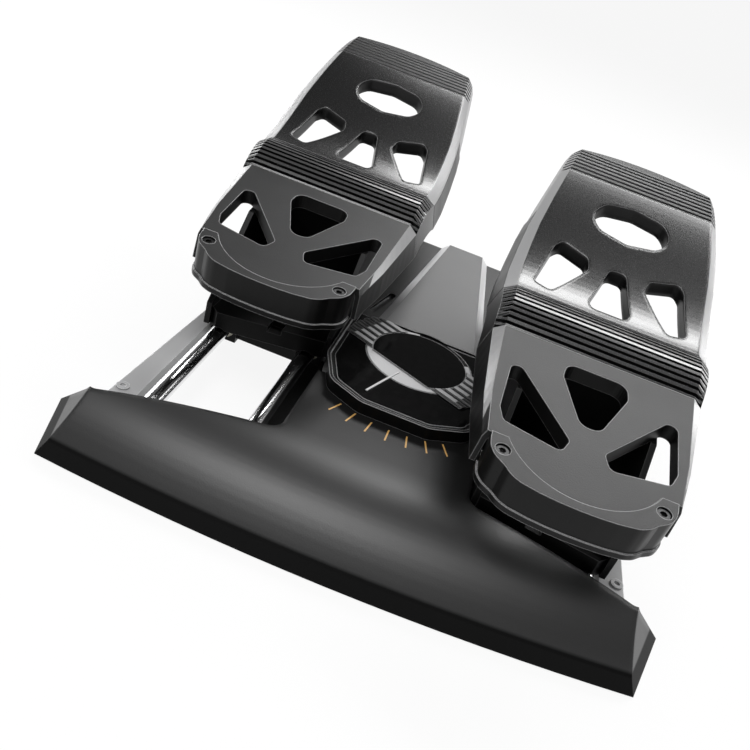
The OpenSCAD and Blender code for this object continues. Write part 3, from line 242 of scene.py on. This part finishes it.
def moulded_skin(finish, tone, rough, grain=0.0006, depth=0.00004, edge=0.0006, specular=0.4, rub=0.0,
        spread=0.12, colour=None):
    """Moulded plastic: grain, a slow change of tone, softened edges and, if asked, a painted highlight:
    edges and corners laid pale where a rounded edge would catch the light.
    """
    fine = finish.noise(grain, 3)
    slow = finish.noise(cloud_size, 2)
    tint = colour or grey(tone)[:3]
    base = finish.blend(slow * 0.5 + fine * 0.5, [c * (1 - spread) for c in tint] + [1],
        [c * (1 + spread) for c in tint] + [1])
    rounded = finish.node("ShaderNodeBevel", {"samples": 6}, {"Radius": edge})
    # Painted highlight: a pale grey is laid along edges and corners, standing in for light caught by
    # rounded edges.
    if rub:
        corner = finish.node("ShaderNodeBevel", {"samples": 6}, {"Radius": rub_width})
        flat = finish.node("ShaderNodeNewGeometry", out="True Normal")
        match = finish.node("ShaderNodeVectorMath", {"operation": "DOT_PRODUCT"}, {0: corner, 1: flat},
            out="Value")
        edge_highlight_share = finish.ramp(match, (0, 1), (corner_rubbed, 1), (corner_unlit, 0), (1, 0))
        base = finish.blend(edge_highlight_share, base, grey(rub))
    bumps = finish.node("ShaderNodeBump", {}, {"Strength": 0.6, "Distance": depth, "Height": fine,
        "Normal": rounded})
    return finish.node("ShaderNodeBsdfPrincipled", {}, {"Base Color": base,
        "Roughness": fine * rough_swing + (rough - rough_swing / 2), "Specular IOR Level": specular,
        "Normal": bumps})


def plastic(name, tone, rough, **skin):
    finish = Finish(bpy.data.materials.new(name))
    return finish.end(moulded_skin(finish, tone, rough, **skin))


def dress(material, *names):
    """Gives CAD nodes their finish."""
    for name in names:
        slots = nodes[name].material_slots
        if not slots:
            nodes[name].data.materials.append(material)
        for slot in slots:
            slot.material = material


dress(plastic("tray_black", 0.012, 0.5, specular=0.2), "base_tray")
dress(plastic("foot_rubber", 0.015, 0.8, grain=0.0004, depth=0.00006, specular=0.2), "rubber_feet",
    "cable_gland")

mark_swing = 0.14
mark_depth = 0.00002


def metal(name, tone, rough, mark_size, along):
    """Metal with fine marks drawn along one axis."""
    finish = Finish(bpy.data.materials.new(name))
    stretch = [1, 1, 1]
    stretch[along] = 0.02
    marks = finish.noise(mark_size, 3, stretch)
    rounded = finish.node("ShaderNodeBevel", {"samples": 4}, {"Radius": 0.0004})
    bumps = finish.node("ShaderNodeBump", {}, {"Strength": 0.35, "Distance": mark_depth, "Height": marks,
        "Normal": rounded})
    return finish.end(finish.node("ShaderNodeBsdfPrincipled", {}, {
        "Base Color": finish.blend(marks, [c * 0.88 for c in grey(tone)[:3]] + [1], grey(tone)),
        "Metallic": 1.0, "Roughness": marks * mark_swing + (rough - mark_swing / 2), "Normal": bumps}))


black_steel = metal("blackened_steel", 0.05, 0.42, 0.0007, 2)
dress(black_steel, "base_screws", "left_heel_screws", "right_heel_screws")


# Rails, their saddles and the rear cross member
# Four hard-chromed rods, ground and polished, lie in black saddles in front and are pressed into the
# cross member behind, which is hollow from below.
dress(metal("hard_chrome", 0.86, 0.14, 0.0005, 1), "outer_rail_left", "inner_rail_left", "inner_rail_right",
    "outer_rail_right")
dress(plastic("member_black", 0.014, 0.42, specular=0.2, rub=0.05), "front_rail_block", "rear_cross_member")

# Side plates and their screws
# Light grey coated bars join the apron and the cross member. One flush socket screw near the front of
# each holds it, and has the same coat.
# The bars' edges carry a painted highlight, paler than the coat.
dress(plastic("side_grey", 0.42, 0.42, grain=0.0007, depth=0.00003, specular=0.5, rub=0.75, spread=0.06),
    "side_plate_left", "side_plate_right", "side_plate_screws")


# Apron
# One wide moulded cover in satin graphite. Its crest rolls down to the front edge. The front face below the
# fold, and the stem towards the dial, are painted near black as shade. Seven gold marks round the dial's
# pivot are printed on the stem.
pivot = Vector((0, -0.03265, 0))
mark_angle = math.radians(8.3)
marks_each_side = 3.5
mark_half_width = 0.0005
marks_from = 0.0775
marks_to = 0.089
printed_above = 0.036
fold_reach = 0.02
stem_reach = 0.2


def round_pivot(finish):
    """Reach and angle of a place about the dial's pivot, the angle from straight towards the user."""
    across, along, up = finish.axes(finish.place(centre=pivot))
    reach = finish.maths("SQRT", across * across + along * along)
    return reach, finish.maths("ARCTAN2", across, along * -1), up


def apron_finish():
    finish = Finish(bpy.data.materials.new("apron_graphite"))
    satin = moulded_skin(finish, 0.018, 0.42, grain=0.0008, depth=0.00006, edge=0.004, specular=0.7)
    dull = moulded_skin(finish, 0.004, 0.55, grain=0.0005, depth=0.00003, edge=0.001, specular=0.08)
    paint = finish.node("ShaderNodeBsdfPrincipled", {}, {"Base Color": (0.62, 0.36, 0.11, 1),
        "Roughness": 0.5})
    reach, angle, up = round_pivot(finish)
    nearest = finish.maths("ROUND", angle / mark_angle)
    off_mark = abs(angle - nearest * mark_angle) * reach
    mark = (off_mark < mark_half_width) * (reach > marks_from) * (reach < marks_to)
    mark = mark * (abs(nearest) < marks_each_side) * (up > printed_above)
    along = finish.axes(finish.place())[1]
    # Painted shade: the stem towards the dial and the front face below the fold are laid near black.
    stem_shade = finish.ramp(along / stem_reach + 1, (0, 0), (0.15, 0), (0.3, 0.6), (1, 0.9))
    front_face_shade = finish.ramp(up / fold_reach, (0, 1), (0.58, 1), (0.66, 0), (1, 0))
    covered = finish.over(front_face_shade, finish.over(stem_shade, satin, dull), dull)
    return finish.end(finish.over(mark, covered, paint))


dress(apron_finish(), "apron_cover")

# Rocker, pivot post and friction ring
# A plated steel post is riveted to the tray. The stamped arm turns on it over a friction ring and
# pulls one carriage back as the other goes forward.
turned_steel = metal("turned_steel", 0.55, 0.3, 0.0006, 2)
dress(turned_steel, "pivot_post", "rocker_arm", "left_drive_pin", "right_drive_pin", "left_hinge_pin",
    "right_hinge_pin")
dress(plastic("friction_ring", 0.1, 0.8, grain=0.0008, depth=0.00008, colour=(0.22, 0.08, 0.06)),
    "drag_washer")
dress(plastic("hub_black", 0.02, 0.4), "rocker_hub")

# Circuit board and sensors
# A green glass-fibre board stands on four posts, and three small moulded sensors read the pivots.
# The sensors have a blue case.
dress(plastic("board_green", 0.1, 0.35, grain=0.0012, depth=0.00003, colour=(0.02, 0.12, 0.05)),
    "circuit_board")
dress(plastic("sensor_blue", 0.1, 0.4, colour=(0.03, 0.06, 0.16)), "yaw_sensor", "left_toe_sensor",
    "right_toe_sensor")


# Console
# A cover over the mechanism: a satin grey spine that rises to the back between two bevels painted pale as
# a highlight towards the back, darker shelves beside it, and a black nose, lip and flanks. A gloss black
# plate lies inside the lip.
spine_front = 0.00235
spine_rear = 0.11135
spine_front_half = 0.033
spine_rear_half = 0.0135
spine_bevel = 0.0056
top_upward = 0.4


def console_finish():
    finish = Finish(bpy.data.materials.new("console_grey"))
    satin = moulded_skin(finish, 0.09, 0.42, grain=0.0007, specular=0.35)
    shelf = moulded_skin(finish, 0.03, 0.45, grain=0.0007, specular=0.25)
    bevel_highlight = moulded_skin(finish, 0.6, 0.35, grain=0.0007, depth=0.00002, specular=0.5, spread=0.05)
    dull = moulded_skin(finish, 0.003, 0.4, grain=0.0005, depth=0.00002, specular=0.12, rub=0.45)
    across, along, up = finish.axes(finish.place())
    narrowing = (spine_front_half - spine_rear_half) / (spine_rear - spine_front)
    past = abs(across) - (spine_front_half - (along - spine_front) * narrowing)
    raised = (along > spine_front + 0.0002) * (finish.facing()[2] > top_upward)
    beside = past > spine_bevel
    # Painted highlight: the bevels beside the spine are laid pale grey, fading in towards the back.
    highlight_strip = (past > 0.0001) * (1 - beside)
    lit_part = finish.ramp((along - spine_front) / (spine_rear - spine_front), (0, 0.08), (0.2, 0.1),
        (0.5, 1), (1, 1))
    top = finish.over(highlight_strip * lit_part, finish.over(beside, satin, shelf), bevel_highlight)
    return finish.end(finish.over(raised, dull, top))


dress(console_finish(), "console_cover")
gloss_black = plastic("gloss_black", 0.003, 0.1, grain=0.004, depth=0.00001, specular=0.1, spread=0.3,
    rub=0.5)
dress(gloss_black, "gloss_plate", "dial_badge")


# Dial
# A disc that turns with the rocker. It carries a bare black badge, cut straight towards the user, a pale
# pointer, and a wing of slats on each side, dark outside and pale near the disc.
rocker_rest = math.radians(25.547)
black_behind = -0.8
slat_floor = 0.04725
pale_within = 0.0435
slat_upward = 0.5


def dial_finish():
    finish = Finish(bpy.data.materials.new("dial_silver"))
    silver = moulded_skin(finish, 0.42, 0.36, grain=0.0004, depth=0.00002, specular=0.5, spread=0.05)
    black = moulded_skin(finish, 0.004, 0.2, grain=0.004, depth=0.00001, specular=0.25)
    ahead = finish.maths("COSINE", round_pivot(finish)[1] + rocker_rest)
    return finish.end(finish.over(ahead < black_behind, silver, black))


def wing_finish():
    finish = Finish(bpy.data.materials.new("wing_grey"))
    pale = moulded_skin(finish, 0.3, 0.35, specular=0.5)
    dark = moulded_skin(finish, 0.004, 0.3, specular=0.25, rub=0.2)
    across, along, up = finish.axes(finish.place(centre=pivot))
    outward = abs(across * math.cos(rocker_rest) - along * math.sin(rocker_rest))
    slat = (up > slat_floor) * (outward < pale_within) * (finish.facing()[2] > slat_upward)
    return finish.end(finish.over(slat, dark, pale))


dress(dial_finish(), "dial_disc")
dress(wing_finish(), "dial_wing_left", "dial_wing_right")
dress(plastic("pointer_silver", 0.5, 0.35, grain=0.0004), "dial_pointer")

# Carriages and slide bushes
# Black moulded sledges, one on each pair of rails. Each runs on four acetal bushes pressed into it.
dress(plastic("carriage_black", 0.003, 0.36, specular=0.12, rub=0.08), "left_carriage", "right_carriage")
dress(plastic("acetal", 0.5, 0.35, colour=(0.62, 0.6, 0.5)), "left_slide_bushes", "right_slide_bushes")

# Pedal frames
# Ribbed black frames screwed on the carriages, which carry the heel plates and the toe hinges. The
# brackets behind the toe plates are moulded in the same black.
dress(plastic("frame_black", 0.006, 0.45, specular=0.2, rub=0.04), "left_pedal_frame",
    "right_pedal_frame", "left_toe_bracket", "right_toe_bracket")


# Heel plates, rims and screws
# Grained satin plates with three openings, whose walls and flanks are painted near black as shade, and
# whose slanted edges are painted paler as a highlight. A rim in front has a top like the plate and a
# smoother skirt, and is held by two socket screws.
rib_pitch = 0.0038
rib_count = 7
slant_sideways = 0.3
slant_upward = 0.85


def plate_top(finish, tone, rough, skin, ribs_from, highlight_strip):
    """A plate's satin top, with its ribbed end, whose ribs are painted pale as highlight and grooves near
    black as shade, and its slanted edges painted paler as a highlight where it has them.
    """
    top = moulded_skin(finish, tone, rough, **skin)
    if ribs_from:
        along = finish.axes(finish.place())[1]
        turn = finish.maths("FRACT", (along - ribs_from) / rib_pitch)
        on_rib = (turn < 0.5) * (along < ribs_from + rib_count * rib_pitch)
        # Painted highlight and shade: each rib of the end is laid paler and each groove near black.
        lit_rib = moulded_skin(finish, 0.03, 0.42, grain=0.0005, depth=0.00003, edge=0.0003, specular=0.35)
        groove_shade = moulded_skin(finish, 0.002, 0.6, grain=0.0005, depth=0.00003, edge=0.0003, specular=0.05)
        top = finish.over(along > ribs_from, top, finish.over(on_rib, lit_rib, groove_shade))
    # Painted highlight: faces that slant sideways are laid a paler grey, where they would catch the light.
    if highlight_strip:
        slanted_highlight = moulded_skin(finish, highlight_strip, 0.32, grain=skin["grain"], depth=skin["depth"],
            edge=skin["edge"], specular=0.6)
        side, away, up = finish.facing()
        top = finish.over((abs(side) > slant_sideways) * (up < slant_upward), top, slanted_highlight)
    return top


def plate_finish(name, tone, rough, skin, wall_tone, wall_rough, wall_specular, wall_below, ribs_from=None,
        highlight_strip=None):
    """A foot plate: its top, and walls and flanks, where a face looks up less than wall_below, painted near
    black as shade.
    """
    finish = Finish(bpy.data.materials.new(name))
    top = plate_top(finish, tone, rough, skin, ribs_from, highlight_strip)
    shaded_wall = moulded_skin(finish, wall_tone, wall_rough, edge=skin["edge"], specular=wall_specular,
        rub=skin["rub"] / 2)
    # Painted shade: faces that look up little are laid near black.
    return finish.end(finish.over(finish.facing()[2] > wall_below, shaded_wall, top))


heel_skin = {"specular": 0.32, "grain": 0.0008, "depth": 0.00015, "spread": 0.6, "rub": 0.5,
    "edge": 0.0009}
dress(plate_finish("heel_satin", 0.022, 0.46, heel_skin, wall_tone=0.004, wall_rough=0.4,
    wall_specular=0.2, wall_below=0.45, highlight_strip=0.24), "left_heel_plate", "right_heel_plate")
dress(plate_finish("rim_gloss", 0.022, 0.46, heel_skin, wall_tone=0.004, wall_rough=0.3,
    wall_specular=0.2, wall_below=0.8), "left_heel_rim", "right_heel_rim")


# Knuckles
# Ribbed barrels between the heel and toe plates, moulded in the same satin black. The ribs are glossy and
# painted paler as a highlight, and the grooves between them are rough and painted near black as shade.
hinge_height = 0.0815
first_rib = math.radians(135.57)
rib_turn = math.radians(6.339)
rib_half = 0.25
cheek_sideways = 0.5


def knuckle_finish(name, hinge_along):
    finish = Finish(bpy.data.materials.new(name))
    lit_rib = moulded_skin(finish, 0.05, 0.26, grain=0.0005, depth=0.00002, edge=0.0003, specular=0.9)
    groove_shade = moulded_skin(finish, 0.001, 0.6, grain=0.0005, depth=0.00003, edge=0.0003, specular=0.03)
    cheek = moulded_skin(finish, 0.012, 0.35, depth=0.00003, edge=0.0012, specular=0.5, rub=0.3)
    across, along, up = finish.axes(finish.place(centre=(0, hinge_along, hinge_height)))
    angle = finish.maths("ARCTAN2", up, along)
    turn = finish.maths("FRACT", (first_rib - angle) / rib_turn)
    # Painted highlight and shade: each rib is laid paler and each groove near black.
    ribbed = finish.over(abs(turn - 0.5) < rib_half, lit_rib, groove_shade)
    return finish.end(finish.over(abs(finish.facing()[0]) > cheek_sideways, ribbed, cheek))


dress(knuckle_finish("knuckle_satin_left", 0.05463), "left_knuckle")
dress(knuckle_finish("knuckle_satin_right", -0.03937), "right_knuckle")

# Return springs
# A torsion spring of hard-drawn wire is wound round each hinge pin, and brings the toe plate back. The
# coil is one wire, swept round the pin from a round section, with its ends closed.
spring_steel = metal("spring_wire", 0.5, 0.3, 0.0005, 0)
wire_thick = 0.0022
wire_facets = 12
spring_turns = 9
turn_steps = 32
weld = 0.00001

for side in ("left", "right"):
    low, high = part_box(side + "_return_spring")
    hinge = [(a + b) / 2 for a, b in zip(low, high)]
    coil_reach = (high[2] - low[2]) / 2 - wire_thick / 2
    spring_reach = high[0] - low[0] - wire_thick
    bpy.ops.object.select_all(action="DESELECT")
    bpy.ops.mesh.primitive_circle_add(vertices=wire_facets, radius=wire_thick / 2,
        rotation=(math.pi / 2, 0, 0), location=(low[0] + wire_thick / 2, hinge[1], hinge[2]))
    spring = bpy.context.object
    spring.name = side + "_spring_coil"
    bpy.ops.object.transform_apply(location=False, rotation=True, scale=False)
    bpy.ops.object.mode_set(mode="EDIT")
    bpy.ops.transform.translate(value=(0, 0, coil_reach))
    bpy.ops.object.mode_set(mode="OBJECT")
    winding = spring.modifiers.new("winding", "SCREW")
    winding.axis = "X"
    winding.iterations = spring_turns
    winding.steps = turn_steps
    winding.render_steps = turn_steps
    winding.screw_offset = spring_reach / spring_turns
    bpy.ops.object.modifier_apply(modifier="winding")
    bpy.ops.object.mode_set(mode="EDIT")
    bpy.ops.mesh.select_all(action="SELECT")
    bpy.ops.mesh.remove_doubles(threshold=weld)
    bpy.ops.mesh.select_all(action="DESELECT")
    bpy.ops.mesh.select_non_manifold()
    bpy.ops.mesh.fill_holes(sides=0)
    bpy.ops.mesh.select_all(action="SELECT")
    bpy.ops.mesh.normals_make_consistent(inside=False)
    bpy.ops.object.mode_set(mode="OBJECT")
    bpy.ops.object.shade_smooth()
    bpy.ops.object.transform_apply(location=True, rotation=True, scale=True)
    spring.data.materials.append(spring_steel)
    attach(spring, side + "_toe")
    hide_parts(side + "_return_spring")

# Toe plates
# Smooth satin plates in an S curve, ribbed at the top end, which tip about the hinge in the knuckle.
# Their slanted edges are painted paler as a highlight, and their openings and flanks are painted near black
# as shade.
toe_skin = {"specular": 0.9, "grain": 0.0006, "depth": 0.000006, "rub": 0.3, "edge": 0.003}
for side, ribs_from in (("left", 0.17765), ("right", 0.08365)):
    dress(plate_finish("toe_satin_" + side, 0.007, 0.26, toe_skin, wall_tone=0.005, wall_rough=0.3,
        wall_specular=0.3, wall_below=0.35, ribs_from=ribs_from, highlight_strip=0.34), side + "_toe_plate")
